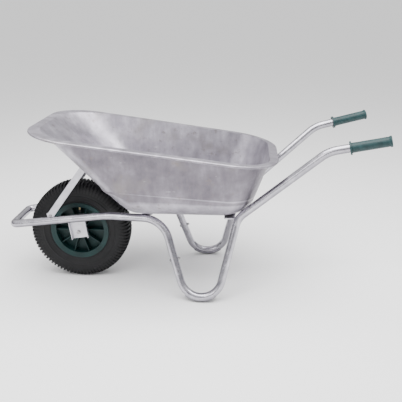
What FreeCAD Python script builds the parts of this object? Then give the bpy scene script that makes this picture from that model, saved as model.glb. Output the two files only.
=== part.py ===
import FreeCAD, Part
import math
import os
import Sketcher

# A single-wheel builder's wheelbarrow: a galvanised pressed tray on a bent-tube frame.
# Working frame: the axle is the Y axis at wheel height, X runs back to the grips,
# the ground is Z = 0, and the left side is -Y. The last step moves everything so that
# the origin is at the middle of the whole barrow, on the ground.

os.makedirs("parts", exist_ok=True)
doc = FreeCAD.newDocument("wheelbarrow")
sheet = doc.addObject("Spreadsheet::Sheet", "sizes")
Vec = FreeCAD.Vector
LEFT, RIGHT = -1, 1
SIDES = (("left", LEFT), ("right", RIGHT))
nodes = []


def size(name, millimetres, note):
    """One driving size: its alias, its number and what it measures."""
    row = size.rows = getattr(size, "rows", 0) + 1
    sheet.set("A%d" % row, name)
    sheet.set("B%d" % row, str(millimetres))
    sheet.set("C%d" % row, note)
    sheet.setAlias("B%d" % row, name)


# Wheel
size("wheel_radius", 200, "tyre outside radius")
size("tyre_half_width", 49.5, "tyre section, half its width")
size("crown_half_width", 34, "tread crown, half its width")
size("crown_camber", 1.5, "crown lower at its edges")
size("shoulder_drop", 14, "shoulder below the crown")
size("shoulder_inset", 2.5, "shoulder inside the fullest width")
size("turn_drop", 5, "middle of the shoulder's round below the crown")
size("turn_width", 6.5, "middle of the shoulder's round beyond the crown")
size("bead_width", 13, "tyre bead on its seat")
size("tyre_wall", 5, "sidewall thickness")
size("tread_depth", 11, "rubber under the crown")
size("bead_radius", 102, "bead seat on the rim")
size("flange_radius", 117, "rim flange outside radius")
size("flange_half_width", 42, "rim over its flanges, half")
size("rim_wall", 4.5, "moulded rim wall")
size("flange_chamfer", 3, "rim flange's outer edge")
size("rib_thickness", 3, "moulded radial rib")
size("rib_setback", 12, "rib inside the rim's flange")
size("rib_root", 2, "rib sunk into the hub")
size("rib_count", 10, "ribs round the hub")
size("hub_radius", 24, "hub outside radius")
size("hub_half_length", 45, "hub, half its length")
size("bush_radius", 14, "bush outside radius")
size("bush_length", 22, "bush length in the hub")
size("bush_flange", 19, "bush flange radius")
size("bush_flange_thick", 2, "bush flange thickness")
size("axle_radius", 8, "axle bar radius")
size("spacer_wall", 4, "axle spacer")
size("running_gap", 0.05, "axle to bush, radial")
size("fit_gap", 0.1, "radial room between pieces that stay still")
size("tube_gap", 0.3, "inner tube to casing")
size("tube_skin", 2, "inner tube rubber")
size("valve_offset", 19, "valve from the wheel's middle")
size("valve_radius", 4, "valve stem")
size("valve_length", 20, "valve stem")
size("valve_cap_radius", 4.6, "valve cap")
size("valve_cap_length", 11, "valve cap")
# Bent tube frame
size("tube_radius", 15, "frame tube outside radius")
size("tube_wall", 1.5, "frame tube wall")
size("nose_x", -250, "cross bar line in front of the wheel")
size("nose_half_width", 90.7, "rail line at the cross bar")
size("nose_height", 240.3, "cross bar height")
size("nose_bend", 20, "tight bend at the nose")
size("sill_x", 130, "where the rails turn level")
size("sill_half_width", 120, "rail line at that place")
size("sill_bend", 400, "gentle bend there")
size("rail_height", 296, "level rails under the tray")
size("knee_x", 352, "where the rails turn down")
size("knee_half_width", 139, "rail line at the knee")
size("knee_bend", 105, "bend radius at the knee")
size("foot_x", 498, "lowest point of a leg")
size("foot_half_width", 222, "leg at the ground")
size("foot_bend", 80, "bend radius at the ground")
size("heel_x", 632, "where the rear leg meets the handle line")
size("heel_half_width", 155, "that place from the middle")
size("heel_height", 312, "height of that place")
size("heel_bend", 80, "bend radius there")
size("wrist_x", 938, "where the handle flattens")
size("wrist_half_width", 211, "handle there from the middle")
size("wrist_height", 585, "height there")
size("wrist_bend", 120, "bend radius there")
size("hand_x", 1139, "end of the handle tube")
size("hand_half_width", 239.5, "handle end from the middle")
size("hand_height", 632, "height of the handle end")
size("joint_depth", 142, "knee corner to the leg joint, along the tube")
size("spigot_length", 45, "reduced front tube inside the leg tube")
size("crimp_length", 8, "step between the front tube and its spigot")
size("joint_bolt_offset", 17, "joint bolt below the seam")
size("shoe_thickness", 3, "wear shoe under the leg")
size("shoe_sweep", 76, "wear shoe, degrees of the ground bend")
size("grip_length", 139, "handle grip")
size("grip_radius", 17.3, "grip body")
size("grip_swell", 0.5, "grip body thicker next to its collar")
size("grip_swell_length", 20, "grip, collar to the end of that swell")
size("grip_end", 3, "closed end of the grip")
size("collar_radius", 23.5, "grip collar")
size("collar_thick", 6, "grip collar")
size("pommel_radius", 19.5, "grip end flange")
size("pommel_thick", 5, "grip end flange")
size("pommel_taper", 4, "grip body rising to its end flange")
size("pommel_round", 1.5, "edge of the end flange")
# Tray
size("sheet_thickness", 1.2, "tray sheet")
size("seat_gap", 0.3, "tray floor above the rails, and the room at a leg joint")
size("rim_front_x", -127.7, "tray rim, front")
size("rim_rear_x", 774, "tray rim, rear")
size("rim_front_half", 292.3, "rim half width at the front")
size("rim_rear_half", 264.8, "rim half width at the rear")
size("rim_front_corner", 160, "rim corner radius, front")
size("rim_rear_corner", 178, "rim corner radius, rear")
size("rim_front_height", 640, "rim above the ground, front")
size("rim_rear_height", 525.6, "rim above the ground, rear")
size("brim_ends", 28, "flat brim at the front and rear")
size("brim_sides", 27, "flat brim at the sides")
size("brow_front_corner", 165, "wall corner radius under the brim, front")
size("brow_rear_corner", 128, "wall corner radius under the brim, rear")
size("sole_front_x", 242, "front wall line on the floor")
size("sole_rear_x", 670, "rear wall line on the floor")
size("sole_front_half", 203, "side wall line on the floor, front")
size("sole_rear_half", 207, "side wall line on the floor, rear")
size("sole_front_corner", 48, "wall corner radius near the floor, front")
size("sole_rear_corner", 124, "wall corner radius near the floor, rear")
size("floor_corner", 34, "smallest corner radius of the flat floor")
size("front_roll", 110, "radius between floor and front wall")
size("side_roll", 118, "radius between floor and side wall")
size("rear_roll", 100, "radius between floor and rear wall")
size("bead_roll", 4.5, "rolled edge radius")
size("edge_wire_radius", 3, "steel wire inside the rolled edge")
# Brackets, straps and fasteners
size("bracket_y", 56, "axle bracket web from the middle")
size("bracket_thick", 3, "axle bracket sheet")
size("bracket_half_length", 34, "bracket web, half")
size("bracket_drop", 23, "bracket web below the axle")
size("bracket_lip", 13, "folded side lips")
size("bracket_offset", 4, "bracket's middle behind the axle")
size("bracket_rise", 2, "bracket top below the rail line")
size("lip_step", 2, "side lips past the web's lower edge")
size("strap_width", 25, "front strap flat bar")
size("strap_thick", 4, "front strap flat bar")
size("strap_foot_x", -97, "strap foot on the rail")
size("strap_rise", 53.7, "degrees that the strap leans")
size("strap_foot_gap", 2, "strap foot above the rail")
size("strap_pin_rise", 6, "foot bolt up the strap")
size("head_bolt_inset", 30, "head bolts inside the strap's legs")
size("tab_length", 28, "strap tab on the rail")
size("tab_thick", 4, "strap tab")
size("tab_height", 20, "strap tab, off the rail")
size("tab_above_pin", 9, "strap tab above its bolt")
size("bar_width", 40, "seat bar under the tray")
size("bar_thick", 4, "seat bar under the tray")
size("front_bar_x", 290, "front seat bar")
size("rear_bar_x", 602, "rear seat bar")
size("floor_bolt_half", 70, "floor bolts from the middle")
size("floor_bolt_edge", 9, "floor bolts from the edge of their bar")
size("axle_bolt_depth", 16, "axle bolt inside the axle bar")
size("axle_bore_depth", 22, "bolt hole in each end of the axle bar")
size("hex_head_height", 5.3, "M8 hexagon head")
size("bolt_radius", 4, "M8 shank")
size("nut_radius", 7.5, "M8 nut over its corners")
size("nut_height", 6.5, "M8 nut")
size("slim_radius", 3, "M6 shank")
size("slim_nut_radius", 6, "M6 nut over its corners")
size("slim_nut_height", 5, "M6 nut")
size("bolt_tail", 3, "bolt past its nut")
size("thread_gap", 0.02, "nut on its bolt, radial")
size("head_radius", 9, "domed bolt head")
size("head_height", 4, "domed bolt head")
doc.recompute()


def value(name):
    return float(sheet.get(name))


def spot(x_name, half_width_name, height, side):
    """A point of the frame's centre line on one side."""
    return Vec(value(x_name), side * value(half_width_name), height)


def turn_to(direction):
    """The rotation that carries +Z onto a direction."""
    return FreeCAD.Rotation(Vec(0, 0, 1), direction)


def keep(label, item):
    """Give a finished sub-part its label and put it on the list of nodes."""
    item.Label = label
    nodes.append(item)
    return item


def solid_feature(label, shape):
    feature = doc.addObject("Part::Feature", label)
    feature.Shape = shape
    return feature


def base_plane(body, role):
    return [f for f in body.Origin.OriginFeatures if f.Role == role][0]


def profile(body, name, role, corners):
    """A closed outline of straight lines. Each corner is a pair of expressions on the sheet."""
    sketch = body.newObject("Sketcher::SketchObject", name)
    sketch.AttachmentSupport = [(base_plane(body, role), "")]
    sketch.MapMode = "FlatFace"
    count = len(corners)
    for i in range(count):
        angle = 2 * math.pi * i / count
        after = 2 * math.pi * (i + 1) / count
        start = Vec(50 * math.cos(angle), 50 * math.sin(angle), 0)
        end = Vec(50 * math.cos(after), 50 * math.sin(after), 0)
        sketch.addGeometry(Part.LineSegment(start, end), False)
    for i in range(count):
        sketch.addConstraint(Sketcher.Constraint("Coincident", i, 2, (i + 1) % count, 1))
    for i, (across, up) in enumerate(corners):
        for kind, expression in (("DistanceX", across), ("DistanceY", up)):
            index = sketch.addConstraint(Sketcher.Constraint(kind, i, 1, 10.0 + i))
            sketch.setExpression("Constraints[%d]" % index, expression.replace("$", "sizes."))
    return sketch


def turned(name, corners, axis="V_Axis", role="XY_Plane"):
    """A turned or moulded round piece: its half section spun about the sketch's axis."""
    body = doc.addObject("PartDesign::Body", name)
    sketch = profile(body, name + "_section", role, corners)
    spin = body.newObject("PartDesign::Revolution", name + "_spin")
    spin.Profile = sketch
    spin.ReferenceAxis = (sketch, [axis])
    spin.Angle = 360
    body.Tip = spin
    doc.recompute()
    return body


def ring(name, inner, outer, low, high):
    """A plain ring along Y between two distances."""
    return turned(name, ((inner, low), (outer, low), (outer, high), (inner, high)))


def corner_arc(before, corner, after, radius):
    """The tangent arc that rounds one corner: its start, a point half way, and its end."""
    back = (before - corner).normalize()
    ahead = (after - corner).normalize()
    half = back.getAngle(ahead) / 2
    setback = radius / math.tan(half)
    inward = (back + ahead).normalize()
    middle = corner + inward * (radius / math.sin(half) - radius)
    return corner + back * setback, middle, corner + ahead * setback


def bent_wire(corners, radii):
    """Straight runs through the corners of a route, each inner corner a tangent arc."""
    edges = []
    start = corners[0]
    for before, corner, after, radius in zip(corners, corners[1:], corners[2:], radii):
        first, middle, last = corner_arc(before, corner, after, radius)
        edges.append(Part.makeLine(start, first))
        edges.append(Part.Arc(first, middle, last).toShape())
        start = last
    edges.append(Part.makeLine(start, corners[-1]))
    return Part.Wire(edges)


def rounded_loop(corners, radii):
    """A closed loop of straight runs and tangent arcs, in the order of its corners."""
    count = len(corners)
    arcs = [corner_arc(corners[i - 1], corners[i], corners[(i + 1) % count], radii[i])
            for i in range(count)]
    edges = []
    for i in range(count):
        edges.append(Part.Arc(*arcs[i]).toShape())
        edges.append(Part.makeLine(arcs[i][2], arcs[(i + 1) % count][0]))
    return Part.Wire(edges)


def swept_rod(name, route, radius):
    """A round rod along a route; radius is an expression on the sheet."""
    path = solid_feature(name + "_route", route)
    start = route.OrderedEdges[0]
    circle = doc.addObject("Part::Circle", name + "_circle")
    circle.setExpression("Radius", radius.replace("$", "sizes."))
    circle.Placement = FreeCAD.Placement(start.valueAt(start.FirstParameter),
                                         turn_to(start.tangentAt(start.FirstParameter)))
    sweep = doc.addObject("Part::Sweep", name)
    sweep.Sections = [circle]
    sweep.Spine = (path, ["Edge%d" % (i + 1) for i in range(len(route.Edges))])
    sweep.Solid = True
    sweep.Frenet = False
    return sweep


def rod(name, start, direction, radius, length):
    """A straight round bar; radius and length are expressions on the sheet."""
    bar = doc.addObject("Part::Cylinder", name)
    bar.setExpression("Radius", radius.replace("$", "sizes."))
    bar.setExpression("Height", length.replace("$", "sizes."))
    bar.Placement = FreeCAD.Placement(start, turn_to(direction))
    return bar


def joined(name, pieces):
    fuse = doc.addObject("Part::MultiFuse", name)
    fuse.Shapes = pieces
    return fuse


def less(name, base, tool):
    cut = doc.addObject("Part::Cut", name)
    cut.Base = base
    cut.Tool = tool
    return cut


def group(label, source, placements):
    """Identical fasteners in one node, each its own solid."""
    copies = []
    for placement in placements:
        copy = source.Shape.copy()
        copy.Placement = placement.multiply(source.Placement)
        copies.append(copy)
    return keep(label, solid_feature(label, Part.makeCompound(copies)))


# ---------------------------------------------------------------- wheel
axle_centre = Vec(0, 0, value("wheel_radius"))


def casing_loop(inset_crown, inset_side, bead_y):
    """The tyre's section in the XY plane, where X is the radius: its outside, or the room in it."""
    crown_radius = value("wheel_radius") - inset_crown
    seat = value("bead_radius")
    lip = value("flange_radius")
    crown = value("crown_half_width") - inset_side / 2
    belly = value("tyre_half_width") - inset_side
    edge_radius = crown_radius - value("crown_camber")
    curves = [Part.Arc(Vec(edge_radius, -crown, 0), Vec(crown_radius, 0, 0), Vec(edge_radius, crown, 0)),
              Part.LineSegment(Vec(seat, -bead_y, 0), Vec(seat, bead_y, 0))]
    for side in (LEFT, RIGHT):
        bead = Vec(lip, side * bead_y, 0)
        fullest = Vec((crown_radius + lip) / 2, side * belly, 0)
        shoulder = Vec(crown_radius - value("shoulder_drop"), side * (belly - value("shoulder_inset")), 0)
        turn = Vec(crown_radius - value("turn_drop"), side * (crown + value("turn_width")), 0)
        curves.append(Part.LineSegment(Vec(seat, side * bead_y, 0), bead))
        curves.append(Part.Arc(bead, fullest, shoulder))
        curves.append(Part.Arc(shoulder, turn, Vec(edge_radius, side * crown, 0)))
    return Part.Wire(Part.__sortEdges__([curve.toShape() for curve in curves]))


def seat_core(radius):
    """A cylinder along the axle, wider than the tyre."""
    reach = 2 * value("tyre_half_width")
    return Part.makeCylinder(radius, 2 * reach, Vec(0, -reach, 0), Vec(0, 1, 0))


def spun(loop):
    return Part.Face(loop).revolve(Vec(0, 0, 0), Vec(0, 1, 0), 360)


bead_outer = value("flange_half_width") - value("rim_wall") - value("fit_gap")
bead_inner = bead_outer - value("bead_width")
casing = spun(casing_loop(0, 0, bead_outer))
cavity = spun(casing_loop(value("tread_depth"), value("tyre_wall"), bead_inner))
keep("tyre", solid_feature("tyre", casing.cut(cavity)))

# The inner tube fills the casing like a ring of its own.
tube_ring = []
for room in (value("tube_gap"), value("tube_gap") + value("tube_skin")):
    loop = casing_loop(value("tread_depth") + room, value("tyre_wall") + room, bead_inner - room)
    tube_ring.append(spun(loop).cut(seat_core(value("bead_radius") + room)))
keep("inner_tube", solid_feature("inner_tube", tube_ring[0].cut(tube_ring[1])))

# The moulded rim: barrel with two flanges, a web in the middle and a long hub.
rim = turned("rim_blank", (
    ("$hub_radius", "-$hub_half_length"),
    ("$hub_radius", "-$rim_wall / 2"),
    ("$bead_radius - $rim_wall", "-$rim_wall / 2"),
    ("$bead_radius - $rim_wall", "-$flange_half_width + $rim_wall"),
    ("$flange_radius - $flange_chamfer", "-$flange_half_width"),
    ("$flange_radius", "-$flange_half_width"),
    ("$flange_radius", "-$flange_half_width + $rim_wall"),
    ("$bead_radius - $fit_gap", "-$flange_half_width + $rim_wall"),
    ("$bead_radius - $fit_gap", "$flange_half_width - $rim_wall"),
    ("$flange_radius", "$flange_half_width - $rim_wall"),
    ("$flange_radius", "$flange_half_width"),
    ("$flange_radius - $flange_chamfer", "$flange_half_width"),
    ("$bead_radius - $rim_wall", "$flange_half_width - $rim_wall"),
    ("$bead_radius - $rim_wall", "$rim_wall / 2"),
    ("$hub_radius", "$rim_wall / 2"),
    ("$hub_radius", "$hub_half_length"),
    ("$bush_radius + $fit_gap", "$hub_half_length"),
    ("$bush_radius + $fit_gap", "-$hub_half_length"),
))
rib_sketch = profile(rim, "rib_section", "XY_Plane", (
    ("$hub_radius - $rib_root", "-$flange_half_width + $rib_setback"),
    ("$bead_radius - $rim_wall / 2", "-$flange_half_width + $rib_setback"),
    ("$bead_radius - $rim_wall / 2", "$flange_half_width - $rib_setback"),
    ("$hub_radius - $rib_root", "$flange_half_width - $rib_setback"),
))
rib = rim.newObject("PartDesign::Pad", "rib")
rib.Profile = rib_sketch
rib.setExpression("Length", "sizes.rib_thickness")
rib.Midplane = True
doc.recompute()
ribs = rim.newObject("PartDesign::PolarPattern", "ribs")
ribs.Originals = [rib]
ribs.Axis = (base_plane(rim, "Y_Axis"), [""])
ribs.Angle = 360
ribs.setExpression("Occurrences", "sizes.rib_count")
rim.Tip = ribs

# Flanged plastic bushes press into the hub, and the steel axle bar runs in them.
for label, side in SIDES:
    outer_end = "$hub_half_length"
    flange_end = "$hub_half_length + $bush_flange_thick"
    inner_end = "$hub_half_length - $bush_length"
    sign = "-" if side == LEFT else ""
    levels = [("%s(%s)" % (sign, level)) for level in (inner_end, outer_end, flange_end)]
    keep("hub_bush_" + label, turned("hub_bush_" + label, (
        ("$axle_radius + $running_gap", levels[0]),
        ("$bush_radius", levels[0]),
        ("$bush_radius", levels[1]),
        ("$bush_flange", levels[1]),
        ("$bush_flange", levels[2]),
        ("$axle_radius + $running_gap", levels[2]),
    )))

axle_bar = ring("axle_blank", "0", "$axle_radius", "-$bracket_y + $bracket_thick / 2",
                "$bracket_y - $bracket_thick / 2")
axle = axle_bar
for label, side in SIDES:
    mouth = Vec(0, side * value("bracket_y"), 0)
    axle = less("axle_" + label, axle, rod("axle_bore_" + label, mouth, Vec(0, -side, 0),
                                            "$bolt_radius + $fit_gap", "$axle_bore_depth"))
keep("axle", axle)

for label, side in SIDES:
    sign = "-" if side == LEFT else ""
    near_end = "%s($hub_half_length + $bush_flange_thick + $tube_gap)" % sign
    far_end = "%s($bracket_y - $bracket_thick / 2)" % sign
    keep("axle_spacer_" + label, ring("axle_spacer_" + label, "$axle_radius + $fit_gap",
                                      "$axle_radius + $spacer_wall", near_end, far_end))

# The valve stands in towards the hub from the rim's seat, on the left of the web.
valve_seat = Vec(0, -value("valve_offset"), value("bead_radius") - value("fit_gap"))
valve_stem = turned("valve_stem_blank", (
    ("0", "0"), ("$valve_radius", "0"), ("$valve_radius", "$valve_radius / 2 - $valve_length"),
    ("0.8 * $valve_radius", "-$valve_length"), ("0", "-$valve_length")))
valve_cap = turned("valve_cap_blank", (
    ("0", "-$valve_length - $fit_gap"), ("$valve_radius - $fit_gap", "-$valve_length - $fit_gap"),
    ("$valve_cap_radius", "-$valve_length - $rib_root / 2"),
    ("$valve_cap_radius", "-$valve_length - $valve_cap_length + $rib_root / 2"),
    ("0", "-$valve_length - $valve_cap_length")))
stand = FreeCAD.Placement(valve_seat, FreeCAD.Rotation(Vec(0, 1, 0), Vec(0, 0, 1)))
keep("valve_stem", solid_feature("valve_stem_set", valve_stem.Shape.transformed(stand.Matrix)))
keep("valve_cap", solid_feature("valve_cap_set", valve_cap.Shape.transformed(stand.Matrix)))
valve_hole = rod("valve_hole", valve_seat + Vec(0, 0, value("rim_wall")), Vec(0, 0, -1),
                 "$valve_radius + $fit_gap", "$valve_length + $rim_wall")
keep("wheel_rim", less("wheel_rim", rim, valve_hole))
wheel_pieces = list(nodes)

# ---------------------------------------------------------------- bent tube frame
tube = "$tube_radius"
bore = "$tube_radius - $tube_wall"
foot_height = value("tube_radius") + value("shoe_thickness")


def leg_corner(side):
    """Where the two straight legs of one side would meet, far below the ground bend."""
    knee = spot("knee_x", "knee_half_width", value("rail_height"), side)
    heel = spot("heel_x", "heel_half_width", value("heel_height"), side)
    foot = spot("foot_x", "foot_half_width", foot_height, side)
    normal = (knee - foot).cross(heel - foot).normalize()
    along = normal.cross(Vec(0, 0, 1)).normalize()
    if along.x < 0:
        along = along * -1
    upward = along.cross(normal).normalize()
    if upward.z < 0:
        upward = upward * -1
    radius = value("foot_bend")
    centre = foot + upward * radius
    directions = []
    for end, sense in ((knee, 1), (heel, -1)):
        reach = centre - end
        lean = sense * math.asin(radius / reach.Length)
        across = reach.dot(along)
        down = reach.dot(upward)
        directions.append(along * (across * math.cos(lean) + down * math.sin(lean))
                          + upward * (down * math.cos(lean) - across * math.sin(lean)))
    a, b = directions
    gap = heel - knee
    cross = a.cross(b)
    share = gap.cross(b).dot(cross) / cross.dot(cross)
    return knee + a * share, centre, along, upward


def side_points(side):
    sill = spot("sill_x", "sill_half_width", value("rail_height"), side)
    nose = spot("nose_x", "nose_half_width", value("nose_height"), side)
    knee = spot("knee_x", "knee_half_width", value("rail_height"), side)
    down = (leg_corner(side)[0] - knee).normalize()
    seam = knee + down * value("joint_depth")
    return nose, sill, knee, seam, down


left_run = side_points(LEFT)[3::-1]
right_run = side_points(RIGHT)[:4]
front_radii = [value("knee_bend"), value("sill_bend"), value("nose_bend"),
               value("nose_bend"), value("sill_bend"), value("knee_bend")]
front_route = bent_wire(list(left_run) + list(right_run), front_radii)
front_outside = swept_rod("front_tube_outside", front_route, tube)
front_inside = swept_rod("front_tube_inside", front_route, bore)
spigots = []
spigot_bores = []
for label, side in SIDES:
    nose, sill, knee, seam, down = side_points(side)
    step = seam - down * value("crimp_length")
    spigots.append(rod("spigot_" + label, step, down, bore + " - $fit_gap",
                       "$spigot_length + $crimp_length"))
    spigots.append(rod("crimp_" + label, step, down, "$tube_radius - $tube_wall / 2", "$crimp_length"))
    spigot_bores.append(rod("spigot_bore_" + label, step - down * value("tube_wall"), down,
                            bore + " - $tube_wall - $fit_gap",
                            "$spigot_length + $crimp_length + 2 * $tube_wall"))
front_hollow = less("front_hollow", front_outside, front_inside)
front_solid = joined("front_with_spigots", [front_hollow] + spigots)
front_bored = less("front_bored", front_solid, joined("spigot_bores", spigot_bores))

rear_outsides = []
rear_tubes = []
for label, side in SIDES:
    nose, sill, knee, seam, down = side_points(side)
    corner, centre, along, upward = leg_corner(side)
    heel = spot("heel_x", "heel_half_width", value("heel_height"), side)
    wrist = spot("wrist_x", "wrist_half_width", value("wrist_height"), side)
    hand = spot("hand_x", "hand_half_width", value("hand_height"), side)
    seam_gap = down * value("seat_gap")
    rear_route = bent_wire([seam + seam_gap, corner, heel, wrist, hand],
                           [value("foot_bend"), value("heel_bend"), value("wrist_bend")])
    outside = swept_rod("rear_outside_" + label, rear_route, tube)
    inside = swept_rod("rear_inside_" + label, rear_route, bore)
    rear_outsides.append(outside)
    rear_tubes.append(less("rear_hollow_" + label, outside, inside))
doc.recompute()

# One bolt and nut holds each telescoped leg joint.
bolt_holes = []
joint_bolts = []
joint_nuts = []
for label, side in SIDES:
    nose, sill, knee, seam, down = side_points(side)
    centre_point = seam + down * value("joint_bolt_offset")
    across = Vec(0, 1, 0).cross(down).normalize()
    if across.x > 0:
        across = across * -1
    bolt_holes.append(rod("joint_hole_" + label, centre_point - across * 2 * value("tube_radius"), across,
                          "$slim_radius + $fit_gap", "4 * $tube_radius"))
    joint_bolts.append(FreeCAD.Placement(centre_point + across * value("tube_radius"), turn_to(across)))
    joint_nuts.append(FreeCAD.Placement(centre_point - across * value("tube_radius"), turn_to(across * -1)))
joint_holes = joined("joint_holes", bolt_holes)
keep("front_frame", less("front_frame", front_bored, joint_holes))
for (label, side), piece in zip(SIDES, rear_tubes):
    keep("rear_tube_" + label, less("rear_tube_" + label, piece, joint_holes))

# Fasteners are turned about Z: the head sits above Z = 0 and the shank hangs below.


def bolt(name, shank_radius, grip, head_radius):
    """A domed bolt that clamps a thickness called its grip and reaches past its nut."""
    tail = "-(%s + $bolt_tail)" % grip
    return turned(name, (
        ("0", tail), (shank_radius, tail), (shank_radius, "0"), (head_radius, "0"),
        (head_radius, "0.4 * $head_height"), ("0.6 * " + head_radius, "$head_height"),
        ("0", "$head_height")), "V_Axis", "XZ_Plane")


def hexagon(name, corner_radius, height, hole_radius):
    """A hexagon nut or head on Z = 0, with a hole through it."""
    body = doc.addObject("PartDesign::Body", name)
    corners = [("%s * cos(%d deg)" % (corner_radius, 60 * i), "%s * sin(%d deg)" % (corner_radius, 60 * i))
               for i in range(6)]
    pad = body.newObject("PartDesign::Pad", name + "_pad")
    pad.Profile = profile(body, name + "_outline", "XY_Plane", corners)
    pad.setExpression("Length", height.replace("$", "sizes."))
    body.Tip = pad
    doc.recompute()
    below = Vec(0, 0, -value("nut_height"))
    hole = rod(name + "_hole", below, Vec(0, 0, 1), hole_radius, "3 * $nut_height")
    return less(name + "_bored", body, hole)


joint_bolt = bolt("joint_bolt", "$slim_radius", "2 * $tube_radius + $slim_nut_height", "$slim_nut_radius")
joint_nut = hexagon("joint_nut", "$slim_nut_radius", "$slim_nut_height", "$slim_radius + $thread_gap")
doc.recompute()
group("leg_joint_bolts", joint_bolt, joint_bolts)
group("leg_joint_nuts", joint_nut, joint_nuts)

# Wear shoes: half sleeves welded round the outside of the ground bends.
shoe_body = doc.addObject("PartDesign::Body", "wear_shoe")
shoe_sketch = shoe_body.newObject("Sketcher::SketchObject", "shoe_section")
shoe_sketch.AttachmentSupport = [(base_plane(shoe_body, "XZ_Plane"), "")]
shoe_sketch.MapMode = "FlatFace"
arc_centre = Vec(0, -value("foot_bend"), 0)
for i, radius in enumerate(("$tube_radius", "$tube_radius + $shoe_thickness")):
    circle = Part.Circle(arc_centre, Vec(0, 0, 1), value("tube_radius") + i * value("shoe_thickness"))
    shoe_sketch.addGeometry(Part.ArcOfCircle(circle, math.pi, 2 * math.pi), False)
    index = shoe_sketch.addConstraint(Sketcher.Constraint("Radius", i, circle.Radius))
    shoe_sketch.setExpression("Constraints[%d]" % index, radius.replace("$", "sizes."))
    shoe_sketch.addConstraint(Sketcher.Constraint("PointOnObject", i, 3, -2))
    index = shoe_sketch.addConstraint(Sketcher.Constraint("DistanceY", i, 3, arc_centre.y))
    shoe_sketch.setExpression("Constraints[%d]" % index, "-sizes.foot_bend")
    for end in (1, 2):
        index = shoe_sketch.addConstraint(Sketcher.Constraint("DistanceY", i, end, arc_centre.y))
        shoe_sketch.setExpression("Constraints[%d]" % index, "-sizes.foot_bend")
for end in (1, 2):
    across = Part.LineSegment(shoe_sketch.getPoint(0, end), shoe_sketch.getPoint(1, end))
    edge = shoe_sketch.addGeometry(across, False)
    shoe_sketch.addConstraint(Sketcher.Constraint("Coincident", edge, 1, 0, end))
    shoe_sketch.addConstraint(Sketcher.Constraint("Coincident", edge, 2, 1, end))
shoe_spin = shoe_body.newObject("PartDesign::Revolution", "shoe_spin")
shoe_spin.Profile = shoe_sketch
shoe_spin.ReferenceAxis = (shoe_sketch, ["H_Axis"])
shoe_spin.setExpression("Angle", "sizes.shoe_sweep")
shoe_spin.Midplane = True
shoe_body.Tip = shoe_spin
doc.recompute()
for label, side in SIDES:
    corner, centre, along, upward = leg_corner(side)
    normal = upward.cross(along)
    turn = FreeCAD.Rotation(normal, normal.cross(upward) * -1, upward, "ZXY")
    place = FreeCAD.Placement(centre, turn)
    shod = shoe_body.Shape.transformed(place.Matrix)
    keep("wear_shoe_" + label, solid_feature("wear_shoe_" + label, shod))

# Push-on grips: a sleeve with a collar at its mouth and a closed, flanged end.
grip_body = turned("grip", (
    ("$tube_radius", "0"), ("$collar_radius", "0"), ("$collar_radius", "$collar_thick"),
    ("$grip_radius + $grip_swell", "$collar_thick"), ("$grip_radius", "$collar_thick + $grip_swell_length"),
    ("$grip_radius", "$grip_length - $pommel_thick - $pommel_taper"),
    ("$pommel_radius", "$grip_length - $pommel_thick"), ("$pommel_radius", "$grip_length - $pommel_round"),
    ("$pommel_radius - $pommel_round", "$grip_length"), ("0", "$grip_length"),
    ("0", "$grip_length - $grip_end"), ("$tube_radius", "$grip_length - $grip_end")), "V_Axis", "XZ_Plane")
for label, side in SIDES:
    wrist = spot("wrist_x", "wrist_half_width", value("wrist_height"), side)
    hand = spot("hand_x", "hand_half_width", value("hand_height"), side)
    aim = (hand - wrist).normalize()
    mouth = hand - aim * (value("grip_length") - value("grip_end"))
    place = FreeCAD.Placement(mouth, turn_to(aim))
    keep("grip_" + label, solid_feature("grip_" + label, grip_body.Shape.transformed(place.Matrix)))

# ---------------------------------------------------------------- tray
floor_under = value("rail_height") + value("tube_radius") + value("seat_gap")
thick = value("sheet_thickness")
rim_rise = value("rim_rear_height") - value("rim_front_height")
rim_slope = rim_rise / (value("rim_rear_x") - value("rim_front_x"))
rim_normal = Vec(-rim_slope, 0, 1).normalize()


def rim_level(x):
    return value("rim_front_height") + rim_slope * (x - value("rim_front_x"))


brow_front = value("rim_front_x") + value("brim_ends")
brow_rear = value("rim_rear_x") - value("brim_ends")
brow_front_half = value("rim_front_half") - value("brim_sides")
brow_rear_half = value("rim_rear_half") - value("brim_sides")


def wall(bottom, top, rise, roll, inset):
    """One wall's line: distance outwards at a height, straight above a roll onto the floor."""
    slope = math.atan2(rise, top - bottom)
    start = bottom - inset * math.tan(slope / 2)
    top_inset = top - inset / math.sin(slope)
    rise_inset = rise - inset
    slope = math.atan2(rise_inset, top_inset - start)
    radius = roll - inset
    setback = radius * math.tan(slope / 2)

    def reach(height):
        """The wall's distance outwards, and how far its roll holds it inside its straight line."""
        line = start + height / math.tan(slope)
        if height > radius * (1 - math.cos(slope)):
            return line, 0.0
        rolled = start - setback + math.sqrt(max(0.0, 2 * radius * height - height * height))
        return rolled, line - rolled
    return reach


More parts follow.
